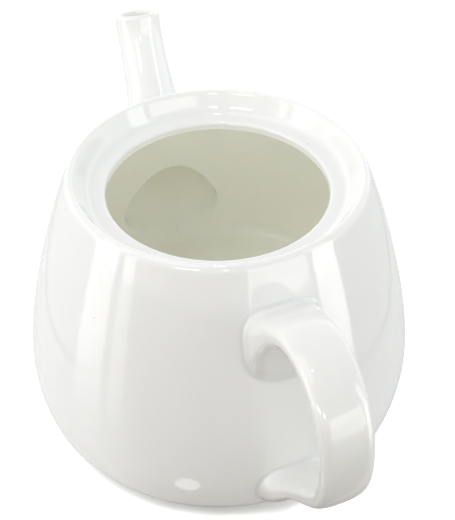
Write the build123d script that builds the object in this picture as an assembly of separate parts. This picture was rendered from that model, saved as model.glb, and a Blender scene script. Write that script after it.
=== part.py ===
from build123d import *
import math
import os

# Glazed porcelain teapot body of about 1.2 litres, with its spout, its handle and the
# slip that lutes them on.  Millimetres.  The origin is the centre of the foot's contact
# plane, +Z is up, the spout points along +X and the handle along -X.

# ---------------------------------------------------------------- body dimensions
# outside
BODY_R = 76.0          # largest radius
BODY_R_Z = 17.64       # height where the wall reaches it
BODY_HEIGHT = 99.57    # crest of the rim
FOOT_EDGE_R = 66.11    # where the lower bowl turns into the foot
FOOT_EDGE_Z = 2.0
LOWER_PULL_R = 10.07   # roundness of the lower bowl
LOWER_PULL_Z = 8.94
WALL_PULL_Z = 16.86    # height of the nearly upright part of the wall
SHOULDER_R = 52.24     # outside radius just under the rim
SHOULDER_Z = 95.68
SHOULDER_LEAN = math.radians(25.67)
SHOULDER_PULL = 23.22
CREST_R = 49.13
CREST_PULL = 0.55      # part of the rim's rise that keeps the shoulder's lean

# inner wall
WALL = 4.0
INNER_WALL_TOP_Z = 84.0  # the inner wall follows the outside below this height

# lid gallery and throat
THROAT_R = 38.42       # clear opening that the lid's skirt drops into
LEDGE_Z = 91.48        # seat for the lid
LEDGE_UNDER_Z = 87.6
LEDGE_R = 42.4         # outer edge of the flat of the seat
LIP_ROUND = 1.2        # rounding of the throat's two edges
LIP_PULL = 0.448       # control point distance from the corner, as a part of the rounding
GALLERY_R = 46.6       # gallery wall where its foot starts to curve in
GALLERY_Z = 95.7
GALLERY_TOP_R = 47.65
GALLERY_TOP_Z = 98.0

# foot ring and floor
FOOT_OUT_R = 64.2
FOOT_IN_R = 59.6
FOOT_ROUND = 0.6       # rounding of the ring's two bottom edges
FOOT_PULL = 1 / 3      # as LIP_PULL
RECESS_Z = 3.0         # recessed underside, at its edge
RECESS_EDGE_R = FOOT_IN_R - 1.6
RECESS_RISE = 0.3      # towards the centre
FLOOR_Z = 7.4
FLOOR_R = 57.0
FLOOR_RISE = 0.4       # towards the centre

# slip at the roots of the spout and handle
SLIP = 0.6             # thickness of the slip layer
SLIP_PROUD = 0.8       # how far the slip stands out round a root

# ---------------------------------------------------------------- stations
# Outer and inner points lie in the XZ plane, on the two sides of each cross-section.

# spout, from the tip down into the body: outer x, outer z, inner x, inner z,
# half width, egg factor, wall, extra thickness under the bore
SPOUT = [
    (116.6, 106.5, 96.8, 110.7, 9.80, 0.00, 2.6, 0.0),
    (112.5, 95.7, 95.1, 104.5, 9.75, 0.00, 2.6, 0.0),
    (108.3, 87.1, 90.7, 96.1, 9.90, 0.00, 2.7, 0.0),
    (104.7, 79.6, 86.5, 89.2, 10.3, 0.00, 2.8, 0.0),
    (101.4, 71.6, 81.9, 82.6, 11.1, 0.00, 3.0, 0.0),
    (98.2, 61.8, 77.0, 75.8, 12.9, 0.03, 3.2, 0.0),
    (94.6, 50.0, 71.8, 68.6, 16.2, 0.08, 3.4, 0.0),
    (90.2, 36.5, 66.8, 61.0, 20.6, 0.14, 3.6, 0.0),
    (84.8, 22.8, 61.5, 54.6, 24.2, 0.18, 3.7, 0.4),
    (78.0, 11.6, 56.0, 49.0, 26.2, 0.20, 3.8, 1.5),
    (71.0, 5.0, 50.0, 44.0, 27.0, 0.20, 3.8, 2.2),
]
BORE_OVERRUN = (2.2, 9.5)  # x and z from the tip to the bore's extra station beyond it
HALF_SECTION_STEPS = 8     # steps round each half of a spout section

# handle, from the upper root to the lower: outer reach along -X, outer z, inner reach,
# inner z, half width, corner radius of the outer side, corner radius of the inner side
HANDLE = [
    (50.0, 83.4, 61.0, 56.0, 12.6, 5.5, 11.5),
    (56.6, 86.5, 64.9, 63.3, 12.6, 5.5, 11.0),
    (62.0, 90.0, 65.7, 75.4, 10.5, 3.8, 5.5),
    (68.5, 93.1, 69.0, 84.8, 8.8, 2.6, 3.0),
    (77.5, 94.8, 76.5, 89.9, 8.0, 1.9, 1.9),
    (85.8, 93.9, 83.6, 88.8, 7.7, 1.9, 1.9),
    (92.7, 90.2, 89.3, 85.9, 7.6, 1.9, 1.9),
    (98.1, 84.3, 93.7, 81.0, 7.6, 1.9, 1.9),
    (101.6, 76.8, 96.7, 74.8, 7.6, 1.9, 1.9),
    (103.5, 68.3, 98.4, 67.5, 7.6, 1.9, 1.9),
    (103.6, 60.0, 98.6, 60.9, 7.5, 1.9, 1.9),
    (101.3, 51.5, 96.6, 54.0, 7.4, 1.9, 1.9),
    (96.3, 42.9, 92.2, 46.3, 7.3, 1.9, 1.9),
    (90.2, 34.5, 86.6, 38.2, 7.5, 2.0, 2.0),
    (84.8, 25.8, 81.9, 31.8, 8.6, 2.6, 2.4),
    (80.0, 15.0, 78.6, 28.2, 10.8, 5.0, 3.5),
    (74.5, 6.0, 75.5, 27.7, 12.2, 8.5, 5.0),
    (68.0, 2.0, 70.0, 29.7, 12.6, 10.0, 6.0),
]
HANDLE_STATIONS = 31       # after resampling
UPPER_ROOT_STATIONS = 6
LOWER_ROOT_STATIONS = 7
CORNER_LIMIT = 0.93        # largest corner radius, as a part of the half width or depth

GLAZE = Color(0.93, 0.93, 0.90)
SLIP_TONE = Color(0.90, 0.90, 0.87)

os.makedirs("parts", exist_ok=True)


# ---------------------------------------------------------------- outlines (radius, z)
def bezier_points(start, pull_a, pull_b, end, steps=60):
    points = []
    for i in range(steps + 1):
        t = i / steps
        weights = ((1 - t) ** 3, 3 * (1 - t) ** 2 * t, 3 * (1 - t) * t * t, t ** 3)
        controls = (start, pull_a, pull_b, end)
        points.append(tuple(sum(w * p[k] for w, p in zip(weights, controls))
                            for k in range(2)))
    return points


def offset_curve(points, distance):
    """Points moved along the curve's right-hand normal (outwards, going up)."""
    moved = []
    for i, (x, z) in enumerate(points):
        before = points[max(i - 1, 0)]
        after = points[min(i + 1, len(points) - 1)]
        run, rise = after[0] - before[0], after[1] - before[1]
        length = math.hypot(run, rise)
        moved.append((x + rise / length * distance, z - run / length * distance))
    return moved


def xz(points):
    return [(x, 0, z) for x, z in points]


def curve(*controls):
    return Bezier(*xz(controls))


def line(start, end):
    return Line(*xz([start, end]))


def rounding(start, corner, end, pull):
    """Bezier round a corner, its control points a part `pull` of the way back from it."""
    pulls = [tuple(c + pull * (p - c) for c, p in zip(corner, point))
             for point in (start, end)]
    return curve(start, *pulls, end)


def spun(edges):
    return revolve(Face(Wire(edges)), axis=Axis.Z)


# Bezier control points of the body's outside, from the foot up to the crest
LOWER = [(FOOT_EDGE_R, FOOT_EDGE_Z), (FOOT_EDGE_R + LOWER_PULL_R, FOOT_EDGE_Z),
         (BODY_R, BODY_R_Z - LOWER_PULL_Z), (BODY_R, BODY_R_Z)]
UPPER = [(BODY_R, BODY_R_Z), (BODY_R, BODY_R_Z + WALL_PULL_Z),
         (SHOULDER_R + math.sin(SHOULDER_LEAN) * SHOULDER_PULL,
          SHOULDER_Z - math.cos(SHOULDER_LEAN) * SHOULDER_PULL),
         (SHOULDER_R, SHOULDER_Z)]
CREST_RISE = CREST_PULL * (BODY_HEIGHT - SHOULDER_Z)
CREST = [(SHOULDER_R, SHOULDER_Z),
         (SHOULDER_R - math.tan(SHOULDER_LEAN) * CREST_RISE, SHOULDER_Z + CREST_RISE),
         ((CREST_R + SHOULDER_R) / 2, BODY_HEIGHT), (CREST_R, BODY_HEIGHT)]


# ---------------------------------------------------------------- cross-sections
def across(section):
    """Unit vector from a section's inner point to its outer point, and their distance."""
    outer_x, outer_z, inner_x, inner_z = section[:4]
    x, z = outer_x - inner_x, outer_z - inner_z
    length = math.hypot(x, z)
    return x / length, z / length, length


def middle(section):
    return (section[0] + section[2]) / 2, (section[1] + section[3]) / 2


def grown(section, amount):
    """The section made larger by the amount on all sides."""
    unit_x, unit_z, _ = across(section)
    outer_x, outer_z, inner_x, inner_z, half_width, *rest = section
    x, z = unit_x * amount, unit_z * amount
    return (outer_x + x, outer_z + z, inner_x - x, inner_z - z, half_width + amount, *rest)


def spout_section(section):
    """Egg-shaped wire: an outer and an inner half that meet at the two sides."""
    half_width, egg = section[4:6]
    mid_x, mid_z = middle(section)
    unit_x, unit_z, depth = across(section)
    half_x, half_z = unit_x * depth / 2, unit_z * depth / 2
    outward, inward = (unit_x, 0, unit_z), (-unit_x, 0, -unit_z)
    halves = []
    for start, tangents in ((0.0, [outward, inward]), (math.pi, [inward, outward])):
        points = []
        for i in range(HALF_SECTION_STEPS + 1):
            angle = start + math.pi * i / HALF_SECTION_STEPS
            # exact zeros, so that the two halves share their end points
            cosine, sine = (0.0 if abs(value) < 1e-12 else value
                            for value in (math.cos(angle), math.sin(angle)))
            points.append((mid_x + half_x * sine, half_width * cosine * (1 + egg * sine),
                           mid_z + half_z * sine))
        if egg == 0.0:
            halves.append(Spline(*points, tangents=tangents))
        else:
            halves.append(Spline(*points))
    return Wire(halves)


def bore_section(section):
    """The bore inside a spout section, raised a little over the thick lower wall."""
    wall, extra = section[6:8]
    unit_x, unit_z, _ = across(section)
    outer_x, outer_z, *rest = grown(section, -wall)
    return (outer_x - unit_x * extra, outer_z - unit_z * extra, *rest)


def strap_section(section):
    """Rounded rectangle across the handle's strap: four lines and four corner arcs."""
    mid_x, mid_z = middle(section)
    unit_x, unit_z, depth = across(section)
    half_width, half_depth = section[4], depth / 2
    outer_radius, inner_radius = (
        min(radius, CORNER_LIMIT * half_width, CORNER_LIMIT * half_depth)
        for radius in section[5:7])
    arc_inset = 1 - math.sqrt(0.5)
    edges = []
    # side 1 is the outer half, side -1 the inner half turned half way round
    for side, radius, last_radius in ((1, outer_radius, inner_radius),
                                      (-1, inner_radius, outer_radius)):
        def at(y, out):
            y, out = side * y, side * out
            return (-(mid_x + unit_x * out), y, mid_z + unit_z * out)

        flat_y, flat_out = half_width - radius, half_depth - radius
        arc_y, arc_out = half_width - arc_inset * radius, half_depth - arc_inset * radius
        edges += [
            Line(at(half_width, -(half_depth - last_radius)), at(half_width, flat_out)),
            ThreePointArc(at(half_width, flat_out), at(arc_y, arc_out),
                          at(flat_y, half_depth)),
            Line(at(flat_y, half_depth), at(-flat_y, half_depth)),
            ThreePointArc(at(-flat_y, half_depth), at(-arc_y, arc_out),
                          at(-half_width, flat_out)),
        ]
    return Wire(edges)


def natural_spline(knots, values):
    """Second derivatives of a natural cubic spline through (knots, values)."""
    count = len(knots)
    second, upper, right = [0.0] * count, [0.0] * count, [0.0] * count
    for i in range(1, count - 1):
        before, after = knots[i] - knots[i - 1], knots[i + 1] - knots[i]
        bend = 6 * ((values[i + 1] - values[i]) / after - (values[i] - values[i - 1]) / before)
        pivot = 2 * (before + after) - before * upper[i - 1]
        upper[i] = after / pivot
        right[i] = (bend - before * right[i - 1]) / pivot
    for i in range(count - 2, 0, -1):
        second[i] = right[i] - upper[i] * second[i + 1]
    return second


def spline_value(knots, values, second, x):
    i = max(k for k in range(len(knots) - 1) if knots[k] <= x + 1e-9)
    span = knots[i + 1] - knots[i]
    low, high = (knots[i + 1] - x) / span, (x - knots[i]) / span
    return (low * values[i] + high * values[i + 1]
            + ((low ** 3 - low) * second[i] + (high ** 3 - high) * second[i + 1])
            * span * span / 6)


def resampled(sections, count):
    """The same run of sections, spaced evenly along its middle line."""
    knots = [0.0]
    for section, following in zip(sections, sections[1:]):
        knots.append(knots[-1] + math.dist(middle(section), middle(following)))
    columns = []
    for values in zip(*sections):
        second = natural_spline(knots, values)
        columns.append([spline_value(knots, values, second, knots[-1] * i / (count - 1))
                        for i in range(count)])
    return list(zip(*columns))


def loft(draw, sections):
    return Solid.make_loft([draw(section) for section in sections])


def biggest(shape):
    return max(shape.solids(), key=lambda solid: solid.volume)


def write(shape, name, colour):
    shape.label = name
    shape.color = colour
    export_step(shape, f"parts/{name}.step")


# ---------------------------------------------------------------- body
def body_form():
    """The hollow body, before the spout's bore is cut through its wall."""
    inner_wall = [point for point in offset_curve(bezier_points(*UPPER), -WALL)[::6]
                  if point[1] < INNER_WALL_TOP_Z]
    bottom, top = inner_wall[0], inner_wall[-1]
    lip_r = THROAT_R + LIP_ROUND
    lip_top_z, lip_bottom_z = LEDGE_Z - LIP_ROUND, LEDGE_UNDER_Z + LIP_ROUND
    foot_in, foot_out = FOOT_IN_R + FOOT_ROUND, FOOT_OUT_R - FOOT_ROUND
    return spun([
        # outside, from the foot up to the crest of the rim
        curve((FOOT_OUT_R, FOOT_ROUND), (FOOT_OUT_R + 0.1, 1.4),
              (FOOT_OUT_R + 0.9, FOOT_EDGE_Z), (FOOT_EDGE_R, FOOT_EDGE_Z)),
        curve(*LOWER),
        curve(*UPPER),
        curve(*CREST),
        # rim's inner side, gallery wall, seat for the lid and throat
        curve((CREST_R, BODY_HEIGHT), (CREST_R - 0.75, BODY_HEIGHT),
              (GALLERY_TOP_R + 0.4, GALLERY_TOP_Z + 0.88), (GALLERY_TOP_R, GALLERY_TOP_Z)),
        line((GALLERY_TOP_R, GALLERY_TOP_Z), (GALLERY_R, GALLERY_Z)),
        curve((GALLERY_R, GALLERY_Z), (GALLERY_R - 1.1, GALLERY_Z - 2.41),
              (GALLERY_R - 1.9, LEDGE_Z), (LEDGE_R, LEDGE_Z)),
        line((LEDGE_R, LEDGE_Z), (lip_r, LEDGE_Z)),
        rounding((lip_r, LEDGE_Z), (THROAT_R, LEDGE_Z), (THROAT_R, lip_top_z), LIP_PULL),
        line((THROAT_R, lip_top_z), (THROAT_R, lip_bottom_z)),
        rounding((THROAT_R, lip_bottom_z), (THROAT_R, LEDGE_UNDER_Z),
                 (lip_r, LEDGE_UNDER_Z), LIP_PULL),
        # underside of the ledge, inner wall and floor
        curve((lip_r, LEDGE_UNDER_Z), (THROAT_R + 7.5, LEDGE_UNDER_Z),
              (top[0] - 1.9, top[1] + 3.4), top),
        Spline(*xz(reversed(inner_wall))),
        curve(bottom, (bottom[0], bottom[1] - 6.6), (65.5, FLOOR_Z), (FLOOR_R, FLOOR_Z)),
        line((FLOOR_R, FLOOR_Z), (0, FLOOR_Z + FLOOR_RISE)),
        line((0, FLOOR_Z + FLOOR_RISE), (0, RECESS_Z + RECESS_RISE)),
        # recessed underside and foot ring
        line((0, RECESS_Z + RECESS_RISE), (RECESS_EDGE_R, RECESS_Z)),
        curve((RECESS_EDGE_R, RECESS_Z), (FOOT_IN_R - 0.6, RECESS_Z),
              (FOOT_IN_R, RECESS_Z - 0.9), (FOOT_IN_R, FOOT_ROUND)),
        rounding((FOOT_IN_R, FOOT_ROUND), (FOOT_IN_R, 0), (foot_in, 0), FOOT_PULL),
        line((foot_in, 0), (foot_out, 0)),
        rounding((foot_out, 0), (FOOT_OUT_R, 0), (FOOT_OUT_R, FOOT_ROUND), FOOT_PULL),
    ])


def filled_form():
    """The body's outside as a solid form."""
    return spun([curve(*LOWER), curve(*UPPER), curve(*CREST),
                 line((CREST_R, BODY_HEIGHT), (0, BODY_HEIGHT)),
                 line((0, BODY_HEIGHT), (0, FOOT_EDGE_Z)),
                 line((0, FOOT_EDGE_Z), (FOOT_EDGE_R, FOOT_EDGE_Z))])


def slip_form():
    """The filled form up to the shoulder, grown by the slip layer."""
    skin = [(FOOT_EDGE_R, FOOT_EDGE_Z - SLIP),
            *offset_curve(bezier_points(*LOWER), SLIP)[10:-1:10],
            *offset_curve(bezier_points(*UPPER), SLIP)[::10]]
    axis_top, axis_bottom = (0, skin[-1][1]), (0, skin[0][1])
    return spun([Spline(*xz(skin)), line(skin[-1], axis_top),
                 line(axis_top, axis_bottom), line(axis_bottom, skin[0])])


body_full = body_form()
filled = filled_form()
grown_form = slip_form()

# ---------------------------------------------------------------- spout
spout_full = loft(spout_section, SPOUT)
tip = SPOUT[0]
beyond_tip = (*(place + step for place, step in zip(tip[:4], BORE_OVERRUN * 2)), *tip[4:])
bore = loft(spout_section, [bore_section(s) for s in [beyond_tip] + SPOUT])
spout = biggest((spout_full - grown_form) - bore)

spout_root = loft(spout_section, [grown(s, SLIP_PROUD) for s in SPOUT])
spout_slip = biggest(((spout_root & grown_form) - filled) - bore)

body = biggest(body_full - bore)

# ---------------------------------------------------------------- handle
handle_sections = resampled(HANDLE, HANDLE_STATIONS)
handle = biggest(loft(strap_section, handle_sections) - grown_form)


def handle_slip(sections):
    root = loft(strap_section, [grown(s, SLIP_PROUD) for s in sections])
    return biggest((root & grown_form) - filled)


upper_slip = handle_slip(handle_sections[:UPPER_ROOT_STATIONS])
lower_slip = handle_slip(handle_sections[-LOWER_ROOT_STATIONS:])

write(body, "body", GLAZE)
write(spout, "spout", GLAZE)
write(handle, "handle", GLAZE)
write(spout_slip, "spout_slip_joint", SLIP_TONE)
write(upper_slip, "handle_upper_slip_joint", SLIP_TONE)
write(lower_slip, "handle_lower_slip_joint", SLIP_TONE)
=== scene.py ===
# A porcelain teapot without its lid: a bowl, a spout, a strap handle, and the slip beads that
# join them. The bowl turns about Z and stands on z = 0, the spout points to +X, the handle to -X.
# Shapes are worked out in millimetres, the scene is in metres.
import math

import bmesh
import bpy
import numpy as np
from mathutils import Matrix, Vector


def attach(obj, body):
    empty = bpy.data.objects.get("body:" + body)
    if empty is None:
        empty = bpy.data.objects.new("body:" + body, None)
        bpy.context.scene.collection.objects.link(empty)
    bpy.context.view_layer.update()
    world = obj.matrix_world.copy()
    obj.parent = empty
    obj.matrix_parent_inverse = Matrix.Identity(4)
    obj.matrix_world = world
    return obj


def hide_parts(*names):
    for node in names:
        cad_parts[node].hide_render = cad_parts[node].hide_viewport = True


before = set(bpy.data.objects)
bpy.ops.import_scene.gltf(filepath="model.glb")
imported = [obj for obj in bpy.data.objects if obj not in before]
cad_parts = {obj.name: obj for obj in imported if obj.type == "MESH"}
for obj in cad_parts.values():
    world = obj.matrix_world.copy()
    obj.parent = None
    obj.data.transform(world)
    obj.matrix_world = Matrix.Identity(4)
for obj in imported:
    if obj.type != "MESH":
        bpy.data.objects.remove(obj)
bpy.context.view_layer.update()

MM = 0.001

# =====================================================================
# dimensions of the bowl: radii and heights, points are (radius, height)
# =====================================================================
WALL = 4.0
BOWL_HEIGHT = 99.57
BELLY = (76.0, 17.64)                # the widest point of the bowl
BELLY_PULL_DOWN, BELLY_PULL_UP = 8.94, 16.86    # lengths of the curve's handles there
SHOULDER = (52.24, 95.68)
SHOULDER_LEAN = math.radians(25.67)
SHOULDER_PULL = 23.22
CREST = (49.13, BOWL_HEIGHT)
GALLERY_TOP, GALLERY_FOOT = (47.65, 98.0), (46.6, 95.7)
LEDGE_RADIUS, LEDGE_TOP, LEDGE_UNDER = 42.4, 91.48, 87.6
THROAT_RADIUS, THROAT_ROUND = 38.42, 1.2
INNER_WALL_TOP = 84.0
FLOOR_RADIUS, FLOOR_Z = 57.0, 7.4
CENTRE_RADIUS = 3.0                  # inside it the floor and the underside close with a fan
FOOT_EDGE, FOOT_PULL = (66.11, 2.0), 10.07      # where the foot ring meets the bowl
FOOT_OUTER, FOOT_INNER, FOOT_ROUND = 64.2, 59.6, 0.6
RECESS_Z = 3.0                       # the underside within the foot ring
COLUMNS = 432                        # round the bowl
COLUMN_ANGLE = 2 * math.pi / COLUMNS

# =====================================================================
# dimensions of the spout and the handle
# =====================================================================
# Stations from the tip down to the root: far edge x, z; near edge x, z (nearer the bowl);
# half width, widening towards the far edge, wall, extra wall at the far edge.
SPOUT = np.array([
    (116.6, 106.5, 96.8, 110.7, 9.80, 0.00, 2.6, 0.0),
    (112.5, 95.7, 95.1, 104.5, 9.75, 0.00, 2.6, 0.0),
    (108.3, 87.1, 90.7, 96.1, 9.90, 0.00, 2.7, 0.0),
    (104.7, 79.6, 86.5, 89.2, 10.3, 0.00, 2.8, 0.0),
    (101.4, 71.6, 81.9, 82.6, 11.1, 0.00, 3.0, 0.0),
    (98.2, 61.8, 77.0, 75.8, 12.9, 0.03, 3.2, 0.0),
    (94.6, 50.0, 71.8, 68.6, 16.2, 0.08, 3.4, 0.0),
    (90.2, 36.5, 66.8, 61.0, 20.6, 0.14, 3.6, 0.0),
    (84.8, 22.8, 61.5, 54.6, 24.2, 0.18, 3.7, 0.4),
    (78.0, 11.6, 56.0, 49.0, 26.2, 0.20, 3.8, 1.5),
    (71.0, 5.0, 50.0, 44.0, 27.0, 0.20, 3.8, 2.2)])

# Stations from the upper root round to the lower: outer edge -x, z; inner edge -x, z;
# half width, superellipse exponents of the outer and the inner half of the section.
HANDLE = np.array([
    (50.0, 83.4, 61.0, 56.0, 12.6, 3.6, 2.2),
    (56.6, 86.5, 64.9, 63.3, 12.6, 3.6, 2.2),
    (62.0, 90.0, 65.7, 75.4, 10.5, 3.4, 2.6),
    (68.5, 93.1, 69.0, 84.8, 8.8, 3.3, 3.2),
    (77.5, 94.8, 76.5, 89.9, 8.0, 3.6, 3.6),
    (85.8, 93.9, 83.6, 88.8, 7.7, 3.6, 3.6),
    (92.7, 90.2, 89.3, 85.9, 7.6, 3.6, 3.6),
    (98.1, 84.3, 93.7, 81.0, 7.6, 3.6, 3.6),
    (101.6, 76.8, 96.7, 74.8, 7.6, 3.6, 3.6),
    (103.5, 68.3, 98.4, 67.5, 7.6, 3.6, 3.6),
    (103.6, 60.0, 98.6, 60.9, 7.5, 3.6, 3.6),
    (101.3, 51.5, 96.6, 54.0, 7.4, 3.6, 3.6),
    (96.3, 42.9, 92.2, 46.3, 7.3, 3.6, 3.6),
    (90.2, 34.5, 86.6, 38.2, 7.5, 3.4, 3.4),
    (84.8, 25.8, 81.9, 31.8, 8.6, 3.0, 3.2),
    (80.0, 15.0, 78.6, 28.2, 10.8, 2.5, 3.0),
    (74.5, 6.0, 75.5, 27.7, 12.2, 2.3, 3.0),
    (68.0, 2.0, 70.0, 29.7, 12.6, 2.3, 3.0)])

SPOUT_STATIONS, HANDLE_STATIONS = 170, 260      # after refining the tables
HANDLE_COLUMNS, HANDLE_ROWS = 128, 210
SPOUT_ROWS = 90                      # along the outside, and again along the bore
LIP_ROW, LIP_RISE, LIP_STEPS = 2.3, 1.75, 12    # the rounded lip at the spout's tip
ROOT_STEPS, ROOT_EASE = 10, 0.5      # the concave blend at a root
ROOT_LOWEST_ARC = 0.4                # no root reaches below this on the outer wall
SLIP = 0.6                           # how far the slip lines the bore beyond the wall
MOUTH_RADIUS, MOUTH_STEPS = 2.3, 9   # rounding of the bore's mouth inside the bowl
MOUTH_LEAST, MOUTH_SOFT, MOUTH_MOST = 1.2, 3.0, 4.6     # limits of its reach
MOUTH_DEPTH_ROWS = 2.5               # the rounding starts this far inside the wall
FAR = 9.0                            # a distance that rules a point out of a crossing


# =====================================================================
# curves and loops
# =====================================================================
def unit(vectors):
    return vectors / (np.linalg.norm(vectors, axis=-1, keepdims=True) + 1e-12)


def bezier(start, pull_start, pull_end, end, steps):
    """A cubic between two points, or between two rings of points."""
    a, b, c, d = (np.asarray(p, float) for p in (start, pull_start, pull_end, end))
    t = np.linspace(0, 1, steps + 1).reshape((-1,) + (1,) * a.ndim)
    return (1 - t) ** 3 * a + 3 * (1 - t) ** 2 * t * b + 3 * (1 - t) * t * t * c + t ** 3 * d


def line(start, end, steps):
    return np.linspace(start, end, steps + 1)


def moved(point, r=0.0, z=0.0):
    return point[0] + r, point[1] + z


def round_corner(start, corner, end, pull, steps):
    """Rounds a corner. pull is how near the corner the curve's handles end, 0 for at it."""
    start, corner, end = np.array(start), np.array(corner), np.array(end)
    return bezier(start, corner + (start - corner) * pull, corner + (end - corner) * pull, end,
                  steps)


def join(*runs):
    """Runs of points end to end, each shared point kept once."""
    return np.vstack([runs[0]] + [run[1:] for run in runs[1:]])


def arc_lengths(points):
    return np.r_[0, np.cumsum(np.linalg.norm(np.diff(points, axis=0), axis=1))]


def resample(points, step):
    arc = arc_lengths(points)
    even = np.linspace(0, arc[-1], max(2, int(round(arc[-1] / step)) + 1))
    return np.stack([np.interp(even, arc, column) for column in points.T], 1)


def smooth_loop(values, passes):
    for _ in range(passes):
        values = 0.25 * np.roll(values, 1, 0) + 0.5 * values + 0.25 * np.roll(values, -1, 0)
    return values


def shrunk(values, amount):
    """Values drawn towards their mean, by 0 to 1."""
    return values * (1 - amount) + values.mean(0) * amount


# =====================================================================
# the bowl's profile, from the underside out, up, over the rim and down inside
# =====================================================================
lower_wall = bezier(FOOT_EDGE, moved(FOOT_EDGE, r=FOOT_PULL), moved(BELLY, z=-BELLY_PULL_DOWN),
                    BELLY, 200)
upper_wall = bezier(
    BELLY, moved(BELLY, z=BELLY_PULL_UP),
    moved(SHOULDER, r=math.sin(SHOULDER_LEAN) * SHOULDER_PULL,
          z=-math.cos(SHOULDER_LEAN) * SHOULDER_PULL), SHOULDER, 400)
rise = 0.55 * (BOWL_HEIGHT - SHOULDER[1])
crest = bezier(SHOULDER, moved(SHOULDER, r=-math.tan(SHOULDER_LEAN) * rise, z=rise),
               ((CREST[0] + SHOULDER[0]) / 2, BOWL_HEIGHT), CREST, 100)
outside = join(resample(lower_wall, 0.7), resample(upper_wall, 1.0), resample(crest, 0.35))

heading = unit(np.gradient(upper_wall, axis=0))
inner_wall = upper_wall - WALL * np.stack([heading[:, 1], -heading[:, 0]], 1)
inner_wall = inner_wall[inner_wall[:, 1] < INNER_WALL_TOP]
wall_bottom, wall_top = inner_wall[0], inner_wall[-1]

QUARTER_PULL = 0.448                 # handles that make a quarter circle
throat_above = (THROAT_RADIUS, LEDGE_TOP)
throat_below = (THROAT_RADIUS, LEDGE_UNDER)
rim = join(
    resample(bezier(CREST, moved(CREST, r=-0.75), moved(GALLERY_TOP, r=0.4, z=0.88),
                    GALLERY_TOP, 60), 0.25),
    line(GALLERY_TOP, GALLERY_FOOT, 5),
    resample(bezier(GALLERY_FOOT, moved(GALLERY_FOOT, r=-1.1, z=-2.41),
                    (GALLERY_FOOT[0] - 1.9, LEDGE_TOP), (LEDGE_RADIUS, LEDGE_TOP), 90), 0.3),
    line((LEDGE_RADIUS, LEDGE_TOP), moved(throat_above, r=THROAT_ROUND), 6),
    round_corner(moved(throat_above, r=THROAT_ROUND), throat_above,
                 moved(throat_above, z=-THROAT_ROUND), QUARTER_PULL, 9),
    line(moved(throat_above, z=-THROAT_ROUND), moved(throat_below, z=THROAT_ROUND), 3),
    round_corner(moved(throat_below, z=THROAT_ROUND), throat_below,
                 moved(throat_below, r=THROAT_ROUND), QUARTER_PULL, 9),
    resample(bezier(moved(throat_below, r=THROAT_ROUND), moved(throat_below, r=7.5),
                    moved(wall_top, r=-1.9, z=3.4), wall_top, 120), 0.7))
hollow = join(
    resample(inner_wall[::-1], 1.0),
    resample(bezier(wall_bottom, moved(wall_bottom, z=-6.6), (65.5, FLOOR_Z),
                    (FLOOR_RADIUS, FLOOR_Z), 200), 0.8),
    line((FLOOR_RADIUS, FLOOR_Z), (CENTRE_RADIUS, FLOOR_Z + 0.38), 26))

FOOT_ROUND_PULL = 1 / 3
foot_in, foot_out = (FOOT_INNER, 0.0), (FOOT_OUTER, 0.0)
underside = join(
    line((CENTRE_RADIUS, RECESS_Z + 0.28), (FOOT_INNER - 1.6, RECESS_Z), 24),
    bezier((FOOT_INNER - 1.6, RECESS_Z), (FOOT_INNER - 0.6, RECESS_Z),
           (FOOT_INNER, RECESS_Z - 0.9), (FOOT_INNER, FOOT_ROUND), 8),
    round_corner(moved(foot_in, z=FOOT_ROUND), foot_in, moved(foot_in, r=FOOT_ROUND),
                 FOOT_ROUND_PULL, 5),
    line(moved(foot_in, r=FOOT_ROUND), moved(foot_out, r=-FOOT_ROUND), 5),
    round_corner(moved(foot_out, r=-FOOT_ROUND), foot_out, moved(foot_out, z=FOOT_ROUND),
                 FOOT_ROUND_PULL, 5),
    bezier(moved(foot_out, z=FOOT_ROUND), moved(foot_out, r=0.1, z=1.4),
           (FOOT_OUTER + 0.9, FOOT_EDGE[1]), FOOT_EDGE, 7))


class Wall:
    """A surface of revolution, addressed by angle and arc length along its (r, z) profile.

    Normals and signed distances are positive to the right of the profile's direction.
    """

    def __init__(self, profile):
        self.profile = profile
        self.arcs = arc_lengths(profile)
        self.tangents = unit(np.gradient(profile, self.arcs, axis=0))

    def radius(self, arc):
        return np.interp(arc, self.arcs, self.profile[:, 0])

    def point(self, angle, arc):
        r = self.radius(arc)
        z = np.interp(arc, self.arcs, self.profile[:, 1])
        return np.stack([r * np.cos(angle), r * np.sin(angle), z], -1)

    def tangent(self, arc):
        r = np.interp(arc, self.arcs, self.tangents[:, 0])
        z = np.interp(arc, self.arcs, self.tangents[:, 1])
        size = np.hypot(r, z)
        return r / size, z / size

    def normal(self, angle, arc):
        r, z = self.tangent(arc)
        return np.stack([z * np.cos(angle), z * np.sin(angle), -r], -1)

    def vector(self, angle, arc, around, along):
        """The direction in space of a direction on the wall."""
        r, z = self.tangent(arc)
        along_way = np.stack([r * np.cos(angle), r * np.sin(angle), z], -1)
        around_way = np.stack([-np.sin(angle), np.cos(angle), np.zeros_like(angle)], -1)
        return around[:, None] * around_way + along[:, None] * along_way

    def locate(self, points):
        """Angle, arc length and signed distance of the nearest point of the wall."""
        r = np.hypot(points[..., 0], points[..., 1])
        flat = np.stack([r, points[..., 2]], -1)
        starts = self.profile[:-1]
        spans = self.profile[1:] - starts
        squares = (spans ** 2).sum(1)
        t = np.clip(((flat[..., None, :] - starts) * spans).sum(-1) / squares, 0, 1)
        distances = np.linalg.norm(flat[..., None, :] - (starts + t[..., None] * spans), axis=-1)
        k = distances.argmin(-1)

        def nearest(values):
            return np.take_along_axis(values, k[..., None], -1)[..., 0]

        arc = self.arcs[k] + nearest(t) * np.sqrt(squares[k])
        side = spans[k, 1] * (r - starts[k, 0]) - spans[k, 0] * (flat[..., 1] - starts[k, 1])
        angle = np.arctan2(points[..., 1], points[..., 0])
        return angle, arc, np.sign(side) * nearest(distances)


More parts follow.
